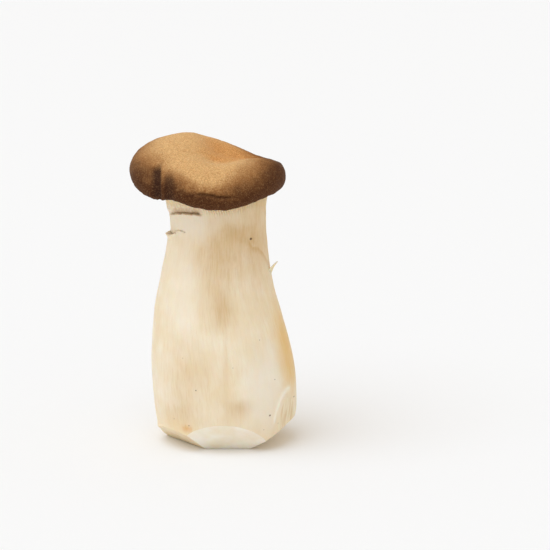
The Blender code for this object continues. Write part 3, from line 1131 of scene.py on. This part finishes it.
# %% Shaved skin
def shaved(name, pale, tan, streak_width, streaks):
    """Flesh with faint streaks that run up, of a width in metres and a strength."""
    tree, shader = open_material(name)
    place_on = add(tree, "ShaderNodeTexCoord")
    narrow = add(tree, "ShaderNodeMapping")
    narrow.inputs["Scale"].default_value = (1.0 / streak_width, 1.0 / streak_width, 0.12 / streak_width)
    wire(tree, place_on.outputs["Object"], narrow.inputs["Vector"])
    streak = add(tree, "ShaderNodeTexNoise", noise_dimensions="3D")
    streak.inputs["Scale"].default_value = 1.0
    streak.inputs["Detail"].default_value = 2.0
    wire(tree, narrow.outputs[0], streak.inputs["Vector"])
    speck = use(tree, "grain", Size=0.5, Detail=3.0)
    base = mix(tree, spread(tree, streak.outputs["Fac"], 0.45, 0.68, 0.0, streaks), pale, tan)
    base = mix(tree, spread(tree, speck, 0.58, 0.75, 0.0, 0.2), base, FRECKLE)
    wire(tree, base, shader.inputs["Base Color"])
    shader.inputs["Roughness"].default_value = 0.5
    bump(tree, shader, math_node(tree, "ADD", streak.outputs["Fac"], speck), strength=0.3, distance=0.2)
    let_light_in(shader, 0.4, FLESH_DEPTH)


shaved("root_rim", colour(240, 222, 188), colour(230, 198, 148), 2.6 * MM, 0.6)
shaved("peeled_side", colour(240, 226, 196), colour(216, 180, 124), 1.6 * MM, 0.55)
print("materials:", sorted(materials))

# %% [markdown]
# ## A sliver of skin
# Half-way up on the right a thread of skin has come loose: its root still holds and its tip curls outwards.
# It could be pulled out of the stem's own mesh, but the rings there are far apart. So it is a piece of its
# own: a small grid, extruded into a strip, then tapered, cupped and bent by moving each point along an arc.

# %% A strip for the sliver
select_nothing()
bpy.ops.mesh.primitive_grid_add(x_subdivisions=6, y_subdivisions=16, size=1.0)
sliver = bpy.context.object
sliver.name = "sliver"
sliver.data.name = "sliver"
bpy.ops.object.mode_set(mode="EDIT")
bpy.ops.mesh.select_all(action="SELECT")
bpy.ops.mesh.extrude_region_move(TRANSFORM_OT_translate={"value": (0, 0, 1)})
bpy.ops.mesh.select_all(action="SELECT")
bpy.ops.mesh.normals_make_consistent(inside=False)
bpy.ops.object.mode_set(mode="OBJECT")
print(len(sliver.data.vertices), "points in the strip")

# %% Taper it, cup it and bend it outwards
SLIVER_ROOT = Vector((16.3, -3.5, 60.6)) * MM
SLIVER_LENGTH, SLIVER_WIDTH, SLIVER_THICKNESS = 7.6 * MM, 3.4 * MM, 0.5 * MM
SLIVER_CUP = 0.18
FACING_RIGHT, FACING_BACK = 0.8, 0.6  # which way its flat side looks
for vertex in sliver.data.vertices:
    along = vertex.co.y + 0.5
    side = vertex.co.x * SLIVER_WIDTH * (1 - along**2.2) ** 0.7
    thick = (vertex.co.z - 0.5) * SLIVER_THICKNESS * (1 - 0.7 * along)
    lean = 0.05 + 0.42 * along**1.5
    spine = Vector((math.sin(lean) * along, 0.0, math.cos(lean * 0.6) * along)) * SLIVER_LENGTH
    cupped = SLIVER_CUP * SLIVER_WIDTH * (2 * vertex.co.x) ** 2 * along
    to_right = FACING_RIGHT * (thick + cupped) + FACING_BACK * side
    to_back = FACING_RIGHT * side - FACING_BACK * thick
    vertex.co = SLIVER_ROOT + shift + spine + Vector((to_right, to_back, 0))
rounding = sliver.modifiers.new("rounding", "SUBSURF")
rounding.levels = rounding.render_levels = 1
take(sliver)
bpy.ops.object.modifier_apply(modifier=rounding.name)
bpy.ops.object.shade_smooth()
sliver.data.materials.append(materials["root_rim"])
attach(sliver, "root")
print(len(sliver.data.polygons), "faces in the sliver")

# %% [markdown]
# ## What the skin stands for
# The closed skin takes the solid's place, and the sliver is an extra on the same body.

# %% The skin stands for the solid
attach(mushroom, "root")
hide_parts("king_oyster_mushroom")
print("the skin has", len(mushroom.data.polygons), "faces")

# %% [markdown]
# ## The studio
# The mushroom stands on a light grey floor in warm, even light, with one broad cool lamp high up on the left.
# Several area lamps could do it, but a warm world and one wide sun give the same soft shadow with two
# numbers to tune. The camera looks down by 12 degrees, from close by.

# %% Floor
FLOOR_SIZE = 14.0
FLOOR_GAP = 0.02 * MM
FLOOR_GREY = (0.93, 0.93, 0.93, 1.0)

select_nothing()
bpy.ops.mesh.primitive_plane_add(size=FLOOR_SIZE, location=(0, 0, -FLOOR_GAP))
floor = bpy.context.object
floor.name = "floor"
floor_paint = bpy.data.materials.new("floor_paint")
floor_paint.use_nodes = True
floor_shader = floor_paint.node_tree.nodes["Principled BSDF"]
floor_shader.inputs["Base Color"].default_value = FLOOR_GREY
floor_shader.inputs["Roughness"].default_value = 0.8
floor_shader.inputs["Specular IOR Level"].default_value = 0.2
floor.data.materials.append(floor_paint)
print("the floor is", FLOOR_SIZE, "m wide")


# %% Light
def aim(thing, at):
    """Points a lamp or a camera at a place."""
    thing.rotation_mode = "QUATERNION"
    thing.rotation_quaternion = (Vector(at) - thing.location).to_track_quat("-Z", "Y")


WARM_AIR = (1.0, 0.93, 0.84, 1.0)
AIR_STRENGTH = 0.74
LAMP_AT = (-0.40, -0.36, 1.0)
LAMP_BLUE = (0.711, 0.838, 1.0)
LAMP_STRENGTH = 1.46
LAMP_BREADTH = math.radians(58)

world = bpy.data.worlds.new("studio")
bpy.context.scene.world = world
world.use_nodes = True
world.node_tree.nodes["Background"].inputs["Color"].default_value = WARM_AIR
world.node_tree.nodes["Background"].inputs["Strength"].default_value = AIR_STRENGTH

bpy.ops.object.light_add(type="SUN", location=LAMP_AT)
key = bpy.context.object
key.name = "key"
key.data.energy = LAMP_STRENGTH
key.data.color = LAMP_BLUE
key.data.angle = LAMP_BREADTH
aim(key, (0, 0, 0))
print("world", AIR_STRENGTH, "and lamp", LAMP_STRENGTH)

# %% Camera
EYE_HEIGHT = math.radians(12.0)
EYE_DISTANCE = 0.70
VIEW_WIDTH = 201.3 * MM
SENSOR = 36.0
look_at = Vector((22.2, 0.0, 62.1)) * MM
bpy.ops.object.camera_add()
camera = bpy.context.object
camera.location = look_at + EYE_DISTANCE * Vector((0, -math.cos(EYE_HEIGHT), math.sin(EYE_HEIGHT)))
aim(camera, look_at)
camera.data.sensor_width = SENSOR
camera.data.lens = SENSOR * EYE_DISTANCE / VIEW_WIDTH
bpy.context.scene.camera = camera
bpy.context.scene.view_settings.view_transform = "Standard"
select_nothing()
print("lens", round(camera.data.lens, 1), "mm")
